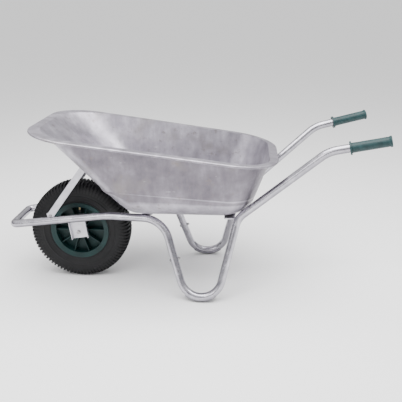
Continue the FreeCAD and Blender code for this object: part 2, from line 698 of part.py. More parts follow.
def pan_section(share, inset):
    """The tray's outline where the walls have risen by a share of their height."""
    floor = floor_under + inset
    front_rise = rim_level(brow_front) - floor_under
    rear_rise = rim_level(brow_rear) - floor_under
    front = wall(-value("sole_front_x"), -brow_front, front_rise, value("front_roll"), inset)
    rear = wall(value("sole_rear_x"), brow_rear, rear_rise, value("rear_roll"), inset)
    side_front = wall(value("sole_front_half"), brow_front_half, front_rise, value("side_roll"), inset)
    side_rear = wall(value("sole_rear_half"), brow_rear_half, rear_rise, value("side_roll"), inset)
    front_up = share * (front_rise - inset)
    rear_up = share * (rear_rise - inset)
    corners = []
    radii = []
    for end, side, up, sense, bottom, top in (
            (front, side_front, front_up, -1, "sole_front_corner", "brow_front_corner"),
            (rear, side_rear, rear_up, 1, "sole_rear_corner", "brow_rear_corner")):
        end_x, end_held = end(up)
        half_width, side_held = side(up)
        corners.append(Vec(sense * end_x, half_width, floor + up))
        wall_corner = value(bottom) + share * (value(top) - value(bottom))
        radii.append(max(value("floor_corner"), wall_corner - (end_held + side_held) / 2) - inset)
    front_right, rear_right = corners
    front_left = Vec(front_right.x, -front_right.y, front_right.z)
    rear_left = Vec(rear_right.x, -rear_right.y, rear_right.z)
    return rounded_loop([front_left, rear_left, rear_right, front_right],
                        [radii[0], radii[1], radii[1], radii[0]])


def pan_solid(inset):
    """The tray as a full block, rounded low down and ruled above; an inset block tops the rim."""
    rolled_share = 0.36
    steps = 9
    lower = [pan_section(rolled_share * (i / steps) ** 2, inset) for i in range(steps + 1)]
    bowl = Part.makeLoft(lower, True, False)
    top_share = 1 + inset / (rim_level(brow_rear) - floor_under)
    walls = Part.makeLoft([pan_section(rolled_share, inset), pan_section(top_share, inset)], True, True)
    # The punch is flat underneath, so nothing of the block is lower than the floor.
    length = value("rim_rear_x") - value("rim_front_x")
    width = 2 * value("rim_front_half")
    under = Part.makeBox(length, width, value("side_roll"), Vec(
        value("rim_front_x"), -width / 2, floor_under + inset - value("side_roll")))
    return bowl.cut(under).fuse(walls)


def rim_loop(drop):
    """The rim's outline, in its sloping plane, lowered by a distance."""
    down = rim_normal * -drop
    corners = []
    for x, half, side in (("rim_front_x", "rim_front_half", LEFT), ("rim_rear_x", "rim_rear_half", LEFT),
                          ("rim_rear_x", "rim_rear_half", RIGHT), ("rim_front_x", "rim_front_half", RIGHT)):
        corners.append(Vec(value(x), side * value(half), rim_level(value(x))) + down)
    front, rear = value("rim_front_corner"), value("rim_rear_corner")
    return rounded_loop(corners, [front, rear, rear, front])


def curl_section(loop, outer, inner):
    """The rolled edge's section across the loop's first run: a ring with a mouth on its inner side."""
    edge = loop.OrderedEdges[1]
    centre = edge.valueAt(edge.FirstParameter)
    outward = edge.tangentAt(edge.FirstParameter).cross(rim_normal).normalize()
    if outward.y > 0:
        outward = outward * -1

    def at(radius, degrees):
        angle = math.radians(degrees)
        return centre + outward * (radius * math.cos(angle)) + rim_normal * (radius * math.sin(angle))
    start, end = 100, -170
    return Part.Wire([
        Part.Arc(at(outer, start), at(outer, (start + end) / 2), at(outer, end)).toShape(),
        Part.makeLine(at(outer, end), at(inner, end)),
        Part.Arc(at(inner, end), at(inner, (start + end) / 2), at(inner, start)).toShape(),
        Part.makeLine(at(inner, start), at(outer, start)),
    ])


def round_section(loop, radius):
    edge = loop.OrderedEdges[1]
    centre = edge.valueAt(edge.FirstParameter)
    return Part.Wire(Part.makeCircle(radius, centre, edge.tangentAt(edge.FirstParameter)))


def along_loop(loop, section):
    """Sweep a section round the rim, starting at its first straight run."""
    edges = loop.OrderedEdges
    route = Part.Wire(edges[1:] + edges[:1])
    return route.makePipeShell([section], True, True)


pan = pan_solid(0).cut(pan_solid(thick))
brim_top = rim_loop(0)
brim_plate = Part.Face(brim_top).extrude(rim_normal * -thick)
mouth = Part.Face(pan_section(1, thick)).extrude(rim_normal * -2 * value("bead_roll"))
mouth.translate(rim_normal * value("bead_roll"))
brim = brim_plate.cut(mouth)
curl_loop = rim_loop(value("bead_roll"))
curl = along_loop(curl_loop, curl_section(curl_loop, value("bead_roll"), value("bead_roll") - thick))
tray_shape = pan.fuse([brim, curl]).removeSplitter()
tray_sheet = solid_feature("tray_sheet", tray_shape)
keep("edge_wire", solid_feature("edge_wire", along_loop(curl_loop, round_section(
    curl_loop, value("edge_wire_radius")))))

# ---------------------------------------------------------------- seat bars and floor bolts
# Flat bars lie between the rails and between the heels. The floor is bolted down near the
# edge of each bar that faces the middle of the tray, where the floor is flat.
front_bar_half = ("sizes.sill_half_width + (sizes.knee_half_width - sizes.sill_half_width)"
                  " * (sizes.front_bar_x - sizes.sill_x) / (sizes.knee_x - sizes.sill_x)"
                  " - sizes.tube_radius / 2")
rear_bar_half = "sizes.heel_half_width - sizes.tube_wall"
bar_level = floor_under - value("bar_thick")
floor_holes = []
floor_bolt_places = []
floor_nut_places = []
for x_name, facing in (("front_bar_x", 1), ("rear_bar_x", -1)):
    bolt_x = value(x_name) + facing * (value("bar_width") / 2 - value("floor_bolt_edge"))
    for side in (LEFT, RIGHT):
        head_seat = Vec(bolt_x, side * value("floor_bolt_half"), floor_under + thick)
        floor_bolt_places.append(FreeCAD.Placement(head_seat, FreeCAD.Rotation()))
        nut_seat = Vec(bolt_x, head_seat.y, bar_level)
        floor_nut_places.append(FreeCAD.Placement(nut_seat, FreeCAD.Rotation(Vec(1, 0, 0), 180)))
        below = nut_seat - Vec(0, 0, value("bar_thick"))
        floor_holes.append(rod("floor_hole_%s_%d" % (x_name, side), below, Vec(0, 0, 1),
                               "$bolt_radius + $fit_gap", "4 * $bar_thick"))
all_floor_holes = joined("floor_holes", floor_holes)
level_rails = [rod("level_rail_%d" % side, spot("sill_x", "sill_half_width", value("rail_height"), side),
                   spot("knee_x", "knee_half_width", value("rail_height"), side)
                   - spot("sill_x", "sill_half_width", value("rail_height"), side),
                   "$tube_radius", "$knee_x - $sill_x") for side in (LEFT, RIGHT)]
for label, x_name, half, tubes in (("front", "front_bar_x", front_bar_half, level_rails),
                                   ("rear", "rear_bar_x", rear_bar_half, rear_outsides)):
    bar = doc.addObject("Part::Box", label + "_bar_blank")
    bar.setExpression("Length", "sizes.bar_width")
    bar.setExpression("Width", "2 * (%s)" % half)
    bar.setExpression("Height", "sizes.bar_thick")
    bar.setExpression("Placement.Base.x", "sizes.%s - sizes.bar_width / 2" % x_name)
    bar.setExpression("Placement.Base.y", "-(%s)" % half)
    bar.setExpression("Placement.Base.z",
                      "sizes.rail_height + sizes.tube_radius + sizes.seat_gap - sizes.bar_thick")
    for i, outside in enumerate(tubes):
        bar = less("%s_bar_trimmed_%d" % (label, i), bar, outside)
    keep(label + "_seat_bar", less(label + "_seat_bar", bar, all_floor_holes))

floor_bolt = bolt("floor_bolt", "$bolt_radius", "$sheet_thickness + $bar_thick + $nut_height",
                  "$head_radius")
floor_nut = hexagon("floor_nut", "$nut_radius", "$nut_height", "$bolt_radius + $thread_gap")
doc.recompute()
group("tray_floor_bolts", floor_bolt, floor_bolt_places)
group("tray_floor_nuts", floor_nut, floor_nut_places)

# ---------------------------------------------------------------- front strap and its tabs
front_wall_top = Vec(brow_front, 0, rim_level(brow_front))
front_wall_foot = Vec(value("sole_front_x"), 0, floor_under)
wall_run = (front_wall_top - front_wall_foot).normalize()
wall_normal = Vec(-wall_run.z, 0, wall_run.x).normalize()
if wall_normal.z > 0:
    wall_normal = wall_normal * -1


def rail_point(x, side):
    """The rail's centre line in front of the tray."""
    nose, sill = side_points(side)[:2]
    return nose + (sill - nose) * ((x - nose.x) / (sill.x - nose.x))


strap_foot = rail_point(value("strap_foot_x"), RIGHT)
strap_half = strap_foot.y
nose_right, sill_right = right_run[:2]
rail_aim = (sill_right - nose_right).normalize()
along_rail = Vec(rail_aim.x, 0, rail_aim.z).normalize()
off_rail = Vec(-along_rail.z, 0, along_rail.x)
lean = math.radians(value("strap_rise"))
strap_aim = Vec(math.cos(lean), 0, math.sin(lean))
leg_side = Vec(-strap_aim.z, 0, strap_aim.x)
foot_start = Vec(strap_foot.x, 0, strap_foot.z + value("tube_radius") + value("strap_foot_gap"))
# The legs run up to the front wall and end flush with it, so their ends are slanted.
strap_length = (front_wall_foot - foot_start).dot(wall_normal) / strap_aim.dot(wall_normal)
strap_head = foot_start + strap_aim * strap_length
strap_thick = value("strap_thick")
half_strap = leg_side * (value("strap_width") / 2)
slant = wall_run * (value("strap_width") / 2 / leg_side.dot(wall_run))
web_rise = wall_normal * strap_thick


def plate(outline, low, high):
    """A flat plate: an outline in the XZ plane, thickened between two Y levels."""
    closed = Part.makePolygon(outline + outline[:1])
    blank = Part.Face(closed).extrude(Vec(0, high - low, 0))
    blank.translate(Vec(0, low, 0))
    return blank


def strap_hole(name, seat, direction):
    """A bolt hole right through what is clamped at a place."""
    depth = 3 * strap_thick
    return rod(name, seat - direction * depth, direction, "$slim_radius + $fit_gap", "6 * $strap_thick")


web = plate([strap_head - slant, strap_head + slant, strap_head + slant + web_rise,
             strap_head - slant + web_rise], -strap_half - strap_thick / 2, strap_half + strap_thick / 2)
leg_outline = [foot_start + half_strap, foot_start - half_strap, strap_head - slant, strap_head + slant]
legs = [plate(leg_outline, side * strap_half - strap_thick / 2, side * strap_half + strap_thick / 2)
        for side in (LEFT, RIGHT)]
strap_blank = solid_feature("front_strap_blank", web.fuse(legs).removeSplitter())

head_bolt_places = []
head_nut_places = []
strap_holes = []
for label, side in SIDES:
    head_seat = strap_head + Vec(0, side * (strap_half - value("head_bolt_inset")), 0)
    head_bolt_places.append(FreeCAD.Placement(head_seat - wall_normal * thick, turn_to(wall_normal * -1)))
    head_nut_places.append(FreeCAD.Placement(head_seat + web_rise, turn_to(wall_normal)))
    strap_holes.append(strap_hole("head_hole_" + label, head_seat, wall_normal))
head_holes = joined("head_holes", strap_holes)

foot_pin = foot_start + strap_aim * value("strap_pin_rise")
tab_foot = (foot_pin + off_rail * (value("tab_above_pin") - value("tab_height"))
            - along_rail * (value("tab_length") / 2))
pin_places = []
pin_nut_places = []
pin_holes = []
tabs = []
for label, side in SIDES:
    outer_face = Vec(foot_pin.x, side * (strap_half + strap_thick / 2), foot_pin.z)
    inner_face = Vec(foot_pin.x, side * (strap_half - strap_thick / 2 - value("tab_thick")), foot_pin.z)
    pin_places.append(FreeCAD.Placement(outer_face, turn_to(Vec(0, side, 0))))
    pin_nut_places.append(FreeCAD.Placement(inner_face, turn_to(Vec(0, -side, 0))))
    pin_holes.append(strap_hole("pin_hole_" + label, outer_face, Vec(0, -side, 0)))
    tab = doc.addObject("Part::Box", "tab_blank_" + label)
    tab.setExpression("Length", "sizes.tab_length")
    tab.setExpression("Width", "sizes.tab_thick")
    tab.setExpression("Height", "sizes.tab_height")
    low = min(inner_face.y, inner_face.y + side * value("tab_thick"))
    tab.Placement = FreeCAD.Placement(tab_foot + Vec(0, low, 0), FreeCAD.Rotation(Vec(1, 0, 0), along_rail))
    tabs.append(less("tab_fitted_" + label, tab, front_outside))
foot_holes = joined("foot_holes", pin_holes)
for (label, side), piece in zip(SIDES, tabs):
    keep("strap_tab_" + label, less("strap_tab_" + label, piece, foot_holes))
strap_with_head_holes = less("front_strap_head", strap_blank, head_holes)
strap_over_rail = less("front_strap_seated", strap_with_head_holes, front_outside)
keep("front_strap", less("front_strap", strap_over_rail, foot_holes))

pin_bolt = bolt("pin_bolt", "$slim_radius", "$strap_thick + $tab_thick + $slim_nut_height",
                "$slim_nut_radius")
head_bolt = bolt("head_bolt", "$slim_radius", "$sheet_thickness + $strap_thick + $slim_nut_height",
                 "$slim_nut_radius")
doc.recompute()
group("strap_foot_bolts", pin_bolt, pin_places)
group("strap_foot_nuts", joint_nut, pin_nut_places)
group("strap_head_bolts", head_bolt, head_bolt_places)
group("strap_head_nuts", joint_nut, head_nut_places)
tray_drilled = less("tray_drilled", tray_sheet, all_floor_holes)
keep("tray", less("tray", tray_drilled, head_holes))

# ---------------------------------------------------------------- axle brackets
# Each bracket is folded sheet: a web with the axle hole, two side lips, and a top flange
# that reaches out to the rail and is welded to it.
bracket_thick = value("bracket_thick")
half_length = value("bracket_half_length")
drop = value("bracket_drop")
axle_bolt_places = []
for label, side in SIDES:
    rail_here = rail_point(0, side)
    web_y = side * value("bracket_y")
    top = rail_here.z - value("wheel_radius") - value("bracket_rise")

    def sheet_piece(x, length, width, z, height):
        """A flat of the bracket that reaches outwards from the web's middle."""
        return Part.makeBox(length, width, height, Vec(x, 0 if side == RIGHT else -width, z))
    web = Part.makeBox(2 * half_length, bracket_thick, top + drop,
                       Vec(-half_length, -bracket_thick / 2, -drop))
    flange = sheet_piece(-half_length, 2 * half_length, abs(rail_here.y - web_y),
                         top - bracket_thick, bracket_thick)
    lips = [sheet_piece(x, bracket_thick, value("bracket_lip"), -drop - value("lip_step"), top + drop)
            for x in (-half_length, half_length - bracket_thick)]
    folded = web.fuse([flange] + lips).removeSplitter()
    folded.Placement = FreeCAD.Placement(Vec(value("bracket_offset"), web_y, value("wheel_radius")),
                                         FreeCAD.Rotation(Vec(1, 0, 0), along_rail))
    blank = solid_feature("bracket_blank_" + label, folded)
    fitted = less("bracket_fitted_" + label, blank, front_outside)
    face = Vec(0, web_y + side * bracket_thick / 2, value("wheel_radius"))
    hole = rod("bracket_hole_" + label, face + Vec(0, side * bracket_thick, 0), Vec(0, -side, 0),
               "$bolt_radius + $fit_gap", "3 * $bracket_thick")
    keep("axle_bracket_" + label, less("axle_bracket_" + label, fitted, hole))
    axle_bolt_places.append(FreeCAD.Placement(face, turn_to(Vec(0, side, 0))))
axle_head = hexagon("axle_head", "$nut_radius", "$hex_head_height", "$bolt_radius")
axle_shank = rod("axle_shank", Vec(0, 0, value("hex_head_height")), Vec(0, 0, -1), "$bolt_radius",
                 "$hex_head_height + $bracket_thick + $axle_bolt_depth")
axle_bolt = joined("axle_bolt", [axle_head, axle_shank])
doc.recompute()
group("axle_bolts", axle_bolt, axle_bolt_places)

# ---------------------------------------------------------------- place, check and write
doc.recompute()
for piece in wheel_pieces:
    piece.Placement = FreeCAD.Placement(axle_centre, FreeCAD.Rotation()).multiply(piece.Placement)
doc.recompute()
whole = FreeCAD.BoundBox()
for node in nodes:
    whole.add(node.Shape.optimalBoundingBox(False, False))
shift = Vec(-whole.Center.x, -whole.Center.y, -whole.ZMin)
for node in nodes:
    node.Placement.Base = node.Placement.Base + shift
doc.recompute()

for item in doc.Objects:
    if "Invalid" in item.State or "Error" in item.State:
        raise RuntimeError("%s failed: %s" % (item.Label, item.State))
for node in nodes:
    if node.Shape.isNull() or not node.Shape.isValid() or not node.Shape.Solids:
        raise RuntimeError("%s has no valid solid" % node.Label)
for node in nodes:
    node.Shape.exportStep("parts/%s.step" % node.Label)
    print("%-22s solids %d  volume %10.0f" % (node.Label, len(node.Shape.Solids), node.Shape.Volume))
print("nodes", len(nodes), "shift", shift, "size", whole.XLength, whole.YLength, whole.ZLength)
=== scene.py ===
import math

import bmesh
import bpy
from mathutils import Matrix, Vector


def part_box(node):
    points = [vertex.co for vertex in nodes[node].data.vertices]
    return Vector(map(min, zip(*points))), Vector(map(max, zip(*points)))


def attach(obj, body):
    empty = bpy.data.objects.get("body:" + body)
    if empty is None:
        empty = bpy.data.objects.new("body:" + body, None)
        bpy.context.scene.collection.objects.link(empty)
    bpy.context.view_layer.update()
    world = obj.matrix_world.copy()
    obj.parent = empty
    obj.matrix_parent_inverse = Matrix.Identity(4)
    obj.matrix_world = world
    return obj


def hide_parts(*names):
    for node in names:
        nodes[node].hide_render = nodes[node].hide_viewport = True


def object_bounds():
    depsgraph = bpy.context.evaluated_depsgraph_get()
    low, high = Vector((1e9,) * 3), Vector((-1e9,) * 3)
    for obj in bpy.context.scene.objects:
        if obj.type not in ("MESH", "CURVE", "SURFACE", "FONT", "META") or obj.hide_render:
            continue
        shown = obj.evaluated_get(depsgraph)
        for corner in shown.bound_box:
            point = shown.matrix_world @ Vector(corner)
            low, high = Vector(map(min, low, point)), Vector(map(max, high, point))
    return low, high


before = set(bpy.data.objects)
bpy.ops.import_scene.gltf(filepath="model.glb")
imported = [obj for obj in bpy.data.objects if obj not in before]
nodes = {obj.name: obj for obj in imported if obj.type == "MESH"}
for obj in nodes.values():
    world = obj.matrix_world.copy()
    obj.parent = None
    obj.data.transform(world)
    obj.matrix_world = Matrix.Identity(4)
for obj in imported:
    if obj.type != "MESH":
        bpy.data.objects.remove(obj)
cad_low, cad_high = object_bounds()
MM = 0.001

# ---------------------------------------------------------------- studio
# The barrow stands on a plain pale floor under one large soft light overhead, with a weaker
# one in front on the left. The room is grey and open, so that bright steel has something
# darker to reflect between the light above and the floor below.
floor_mesh = bpy.data.meshes.new("studio_floor")
floor_sheet = bmesh.new()
bmesh.ops.create_grid(floor_sheet, x_segments=1, y_segments=1, size=600)
floor_sheet.to_mesh(floor_mesh)
floor_sheet.free()
studio_floor = bpy.data.objects.new("studio_floor", floor_mesh)
studio_floor.location.z = cad_low.z
bpy.context.scene.collection.objects.link(studio_floor)


def soft_light(name, place, target, width, height, watts):
    """A rectangular soft box that points at a target."""
    lamp = bpy.data.lights.new(name, "AREA")
    lamp.shape = "RECTANGLE"
    lamp.size = width
    lamp.size_y = height
    lamp.energy = watts
    box = bpy.data.objects.new(name, lamp)
    box.location = place
    box.rotation_euler = (Vector(target) - Vector(place)).to_track_quat("-Z", "Y").to_euler()
    bpy.context.scene.collection.objects.link(box)
    return box


middle = (cad_low + cad_high) / 2
soft_light("overhead_light", (0.1, -0.5, 2.6), middle, 3.2, 2.2, 170)
soft_light("front_light", (-1.6, -2.8, 1.7), middle, 1.6, 1.2, 30)

room = bpy.data.worlds.new("room")
bpy.context.scene.world = room
room.use_nodes = True
room_tree = room.node_tree
room_back = room_tree.nodes["Background"]
room_height = room_tree.nodes.new("ShaderNodeSeparateXYZ")
room_place = room_tree.nodes.new("ShaderNodeTexCoord")
room_shade = room_tree.nodes.new("ShaderNodeValToRGB")
room_shade.color_ramp.elements[0].position = 0.0
room_shade.color_ramp.elements[0].color = (0.12, 0.12, 0.135, 1)
room_shade.color_ramp.elements[1].position = 0.75
room_shade.color_ramp.elements[1].color = (1.0, 1.0, 1.0, 1)
room_tree.links.new(room_place.outputs["Generated"], room_height.inputs[0])
room_tree.links.new(room_height.outputs["Z"], room_shade.inputs[0])
room_tree.links.new(room_shade.outputs[0], room_back.inputs["Color"])
room_back.inputs["Strength"].default_value = 1.3

# The camera stands to the barrow's left, a little above it, and looks slightly forward.
lens = bpy.data.cameras.new("camera")
lens.sensor_width = 36
lens.lens = 53.07
camera = bpy.data.objects.new("camera", lens)
camera.location = (0.2061, -2.2112, 1.0851)
camera.rotation_euler = (math.pi / 2 - math.radians(18.96), 0, 0.0731)
bpy.context.scene.collection.objects.link(camera)
bpy.context.scene.camera = camera


class Shade:
    """One value inside a finish. Sums and products on it add Math nodes."""

    def __init__(self, finish, socket):
        self.finish = finish
        self.socket = socket

    def math(self, operation, first, second):
        return self.finish.add("ShaderNodeMath", {0: first, 1: second}, operation=operation)

    def __add__(self, other):
        return self.math("ADD", self, other)

    def __mul__(self, other):
        return self.math("MULTIPLY", self, other)

    def __sub__(self, other):
        return self.math("SUBTRACT", self, other)

    def __rsub__(self, other):
        return self.math("SUBTRACT", other, self)

    __radd__ = __add__
    __rmul__ = __mul__


class Finish:
    """A procedural material, written as expressions on the place of each point."""

    def __init__(self, name, colour, roughness, metallic):
        self.material = bpy.data.materials.new(name)
        self.material.use_nodes = True
        self.tree = self.material.node_tree
        self.shader = self.tree.nodes["Principled BSDF"]
        self.place = self.add("ShaderNodeTexCoord", output="Object")
        self.set("Base Color", colour)
        self.set("Roughness", roughness)
        self.set("Metallic", metallic)

    def feed(self, socket, value):
        if isinstance(value, Shade):
            self.tree.links.new(value.socket, socket)
        elif isinstance(value, tuple) and socket.type == "RGBA":
            socket.default_value = value + (1.0,)
        else:
            socket.default_value = value

    def add(self, kind, inputs=(), output=0, stops=(), **settings):
        """Any node: its settings first, then a ramp's stops, then the values of its sockets."""
        node = self.tree.nodes.new(kind)
        for name, setting in settings.items():
            setattr(node, name, setting)
        for i, (position, shade) in enumerate(stops):
            elements = node.color_ramp.elements
            stop = elements[i] if i < len(elements) else elements.new(position)
            stop.position = position
            stop.color = (shade, shade, shade, 1) if isinstance(shade, (int, float)) else shade + (1,)
        for key, value in dict(inputs).items():
            self.feed(node.inputs[key], value)
        return Shade(self, node.outputs[output])

    def set(self, name, value):
        self.feed(self.shader.inputs[name], value)
        return self

    def stretched(self, *scale):
        """The place of each point, stretched by a scale along each axis."""
        return self.add("ShaderNodeMapping", {"Vector": self.place, "Scale": scale})

    def noise(self, scale, detail=4.0, roughness=0.55, place=None):
        return self.add("ShaderNodeTexNoise", {"Vector": place or self.place, "Scale": scale,
                                               "Detail": detail, "Roughness": roughness})

    def ramp(self, value, *stops):
        return self.add("ShaderNodeValToRGB", {0: value}, stops=stops)

    def mix(self, share, first, second):
        return self.add("ShaderNodeMix", {0: share, 6: first, 7: second}, output=2, data_type="RGBA")

    def bump(self, height, strength, distance):
        """Relief on the surface: height in 0 to 1 over a distance in metres."""
        self.set("Normal", self.add("ShaderNodeBump", {"Strength": strength, "Distance": distance,
                                                       "Height": height}))
        return self


def wear(finish, *names):
    """Give CAD nodes their finish."""
    for name in names:
        for material_slot in nodes[name].material_slots:
            material_slot.material = finish.material


def both(name):
    return name + "_left", name + "_right"


floor_finish = Finish("pale_floor", (0.97, 0.97, 0.97), 0.95, 0.0)
floor_mesh.materials.append(floor_finish.material)

# ---------------------------------------------------------------- tray
# The tray is pressed from galvanised sheet. Its zinc is a satin lavender grey with a faint
# spangle, soft clouds and a few brownish scuffs, and drawing has left streaks up its walls.
tray_zinc = Finish("tray_zinc", (0.6, 0.6, 0.63), 0.42, 0.8)
cloud = tray_zinc.noise(5.5, 6.0, 0.62)
fine_cloud = tray_zinc.noise(26.0, 5.0, 0.6)
draw_streak = tray_zinc.noise(9.0, 5.0, 0.6, tray_zinc.stretched(3.2, 3.2, 0.55))
spangle = tray_zinc.add("ShaderNodeTexVoronoi", {"Vector": tray_zinc.place, "Scale": 95.0}, output="Color")
spangle_grey = tray_zinc.add("ShaderNodeRGBToBW", {0: spangle})
tone = cloud * 0.45 + fine_cloud * 0.25 + draw_streak * 0.3
tray_colour = tray_zinc.ramp(tone, (0.32, (0.20, 0.185, 0.215)), (0.5, (0.36, 0.34, 0.385)),
                             (0.68, (0.60, 0.575, 0.635)))
# Wall faces that look slightly downward, which are mostly the outside of the walls, are darkened as painted
# shade, and the floor, the rolled lower corners and the inside are left lighter. Which way a point faces tells
# them apart.
outwards = tray_zinc.add("ShaderNodeTexCoord", output="Normal")
facing = tray_zinc.add("ShaderNodeSeparateXYZ", {0: outwards}, output=2)
painted_wall_shade = tray_zinc.ramp(facing * 0.5 + 0.5, (0.26, 0.0), (0.33, 1.0), (0.47, 1.0), (0.50, 0.0))
# Where the mask is, a darker copy of the zinc's tones is mixed in as painted shade.
tray_colour = tray_zinc.mix(painted_wall_shade * 0.8, tray_colour, tray_zinc.ramp(
    tone, (0.32, (0.060, 0.053, 0.064)), (0.5, (0.135, 0.120, 0.142)), (0.68, (0.25, 0.23, 0.265))))
# Handling has rubbed brownish scuffs and pale scratches into the sheet.
scuff = tray_zinc.ramp(tray_zinc.noise(8.0, 3.0, 0.5), (0.56, 0.0), (0.70, 0.6))
small_scuff = tray_zinc.ramp(tray_zinc.noise(38.0, 5.0, 0.65), (0.60, 0.0), (0.68, 0.55))
scratch_place = tray_zinc.stretched(0.4, 0.4, 3.4)
scratch = tray_zinc.ramp(tray_zinc.noise(24.0, 6.0, 0.7, scratch_place), (0.66, 0.0), (0.70, 0.5))
scuffed = tray_zinc.mix(scuff, tray_colour, (0.22, 0.20, 0.195))
scuffed = tray_zinc.mix(small_scuff, scuffed, (0.20, 0.17, 0.16))
tray_zinc.set("Base Color", tray_zinc.mix(scratch, scuffed, (0.74, 0.73, 0.76)))
tray_zinc.set("Roughness", 0.30 + tone * 0.22 + spangle_grey * 0.06)
tray_zinc.bump(cloud * 0.6 + fine_cloud * 0.3 + draw_streak * 0.1, 0.35, 0.004)
wear(tray_zinc, "tray")

edge_steel = Finish("edge_steel", (0.42, 0.42, 0.43), 0.4, 0.9)
edge_steel.set("Roughness", 0.3 + edge_steel.noise(40.0) * 0.25)
wear(edge_steel, "edge_wire")

# ---------------------------------------------------------------- bent tubes
# The frame is galvanised steel tube, bright and smooth from the mill, with a faint draw
# texture. Wear shoes are welded under the legs.
tube_zinc = Finish("tube_zinc", (0.66, 0.66, 0.69), 0.24, 1.0)
tube_cloud = tube_zinc.noise(30.0, 5.0, 0.6)
tube_spots = tube_zinc.ramp(tube_zinc.noise(70.0, 4.0, 0.6), (0.55, 0.0), (0.72, 0.5))
tube_colour = tube_zinc.ramp(tube_cloud, (0.3, (0.36, 0.35, 0.39)), (0.7, (0.54, 0.525, 0.57)))
# The undersides are darkened towards a dark grey as painted shade.
tube_facing = tube_zinc.add("ShaderNodeSeparateXYZ", {0: tube_zinc.add("ShaderNodeTexCoord", output="Normal")},
                            output=2)
tube_painted_underside_shade = tube_zinc.ramp(tube_facing * 0.5 + 0.5, (0.12, 0.85), (0.5, 0.0))
tube_colour = tube_zinc.mix(tube_painted_underside_shade, tube_colour, (0.10, 0.095, 0.11))
tube_zinc.set("Base Color", tube_zinc.mix(tube_spots, tube_colour, (0.26, 0.25, 0.265)))
tube_zinc.set("Roughness", 0.2 + tube_cloud * 0.12)
tube_zinc.bump(tube_cloud, 0.12, 0.0008)
wear(tube_zinc, "front_frame", *both("rear_tube"), *both("wear_shoe"))

# ---------------------------------------------------------------- flat steel
# The front strap, its tabs, the axle brackets and the seat bars are cut from galvanised
# flat steel and folded. Their zinc is duller than the tubes'.
strap_zinc = Finish("strap_zinc", (0.68, 0.67, 0.71), 0.4, 0.85)
strap_cloud = strap_zinc.noise(24.0, 5.0, 0.62)
strap_zinc.set("Base Color", strap_zinc.ramp(strap_cloud, (0.3, (0.44, 0.43, 0.47)),
                                             (0.7, (0.64, 0.63, 0.67))))
strap_zinc.set("Roughness", 0.32 + strap_cloud * 0.2)
strap_zinc.bump(strap_cloud, 0.2, 0.001)
wear(strap_zinc, "front_strap", *both("strap_tab"), *both("axle_bracket"), "front_seat_bar", "rear_seat_bar")

# ---------------------------------------------------------------- fasteners and axle
# Bolts and nuts are bright zinc plated. The axle and its spacers are plain turned steel.
plated = Finish("plated", (0.30, 0.29, 0.30), 0.28, 1.0)
plated.set("Roughness", 0.22 + plated.noise(120.0) * 0.2)
wear(plated, *[name for name in nodes if name.endswith(("bolts", "nuts"))])
turned = Finish("turned_steel", (0.5, 0.5, 0.51), 0.3, 1.0)
turned.set("Roughness", 0.24 + turned.noise(20.0, place=turned.stretched(1, 40, 1)) * 0.25)
wear(turned, "axle", *both("axle_spacer"))

# ---------------------------------------------------------------- grips
# The grips are moulded in teal green plastic and pushed on to the handles.
grip_plastic = Finish("grip_plastic", (0.05, 0.17, 0.18), 0.42, 0.0)
grain = grip_plastic.noise(60.0, 5.0, 0.6)
grip_plastic.set("Base Color", grip_plastic.ramp(grain, (0.3, (0.003, 0.020, 0.022)),
                                                 (0.7, (0.010, 0.042, 0.045))))
grip_plastic.set("Roughness", 0.38 + grain * 0.2)
grip_plastic.set("Specular IOR Level", 0.35)
grip_plastic.bump(grip_plastic.noise(420.0, 2.0), 0.35, 0.0006)
wear(grip_plastic, *both("grip"))

# ---------------------------------------------------------------- wheel
# The rim is one green moulding. Its bushes are natural nylon.
rim_plastic = Finish("rim_plastic", (0.02, 0.09, 0.085), 0.45, 0.0)
rim_cloud = rim_plastic.noise(18.0)
rim_plastic.set("Base Color", rim_plastic.ramp(rim_cloud, (0.3, (0.002, 0.015, 0.015)),
                                               (0.7, (0.006, 0.032, 0.031))))
rim_plastic.set("Roughness", 0.38 + rim_cloud * 0.2)
rim_plastic.set("Specular IOR Level", 0.3)
rim_plastic.bump(rim_plastic.noise(260.0, 2.0), 0.2, 0.0005)
wear(rim_plastic, "wheel_rim")

nylon = Finish("nylon", (0.8, 0.8, 0.76), 0.4, 0.0)
nylon.set("Roughness", 0.35 + nylon.noise(50.0) * 0.2)
wear(nylon, *both("hub_bush"))

valve_brass = Finish("valve_brass", (0.55, 0.45, 0.25), 0.35, 1.0)
valve_brass.set("Roughness", 0.3 + valve_brass.noise(90.0) * 0.2)
wear(valve_brass, "valve_stem")
cap_plastic = Finish("cap_plastic", (0.02, 0.02, 0.02), 0.5, 0.0)
cap_plastic.set("Roughness", 0.42 + cap_plastic.noise(90.0) * 0.2)
wear(cap_plastic, "valve_cap")

# ---------------------------------------------------------------- tyre
# The tyre is a black rubber moulding. Its tread is a ring of cross lugs that run over each
# shoulder on to the sidewall, with a row of blocks between them round the crown.
tyre_low, tyre_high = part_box("tyre")
axle_line = (tyre_low + tyre_high) / 2
LUGS = 84

# Half of the casing's section, as radius and distance from the middle, from the crown down
# the sidewall to the bead, and back along the inner face.
casing_half = ((193.0, 0.0), (192.4, 20.0), (191.0, 32.0), (187.5, 39.5), (181.0, 44.5), (172.0, 47.0),
               (160.0, 48.2), (147.5, 47.9), (145.8, 49.0), (143.2, 48.9), (141.4, 47.3), (132.0, 45.4),
               (126.0, 43.8), (124.6, 44.6), (121.8, 43.8), (120.4, 42.3), (117.3, 40.6), (117.2, 37.4),
               (102.3, 37.4), (102.3, 25.5), (118.0, 29.0), (132.0, 38.0), (150.0, 43.2), (168.0, 42.6),
               (180.0, 37.0), (187.6, 24.0), (188.6, 0.0))
side_points = [(radius * MM, across * MM) for radius, across in casing_half]


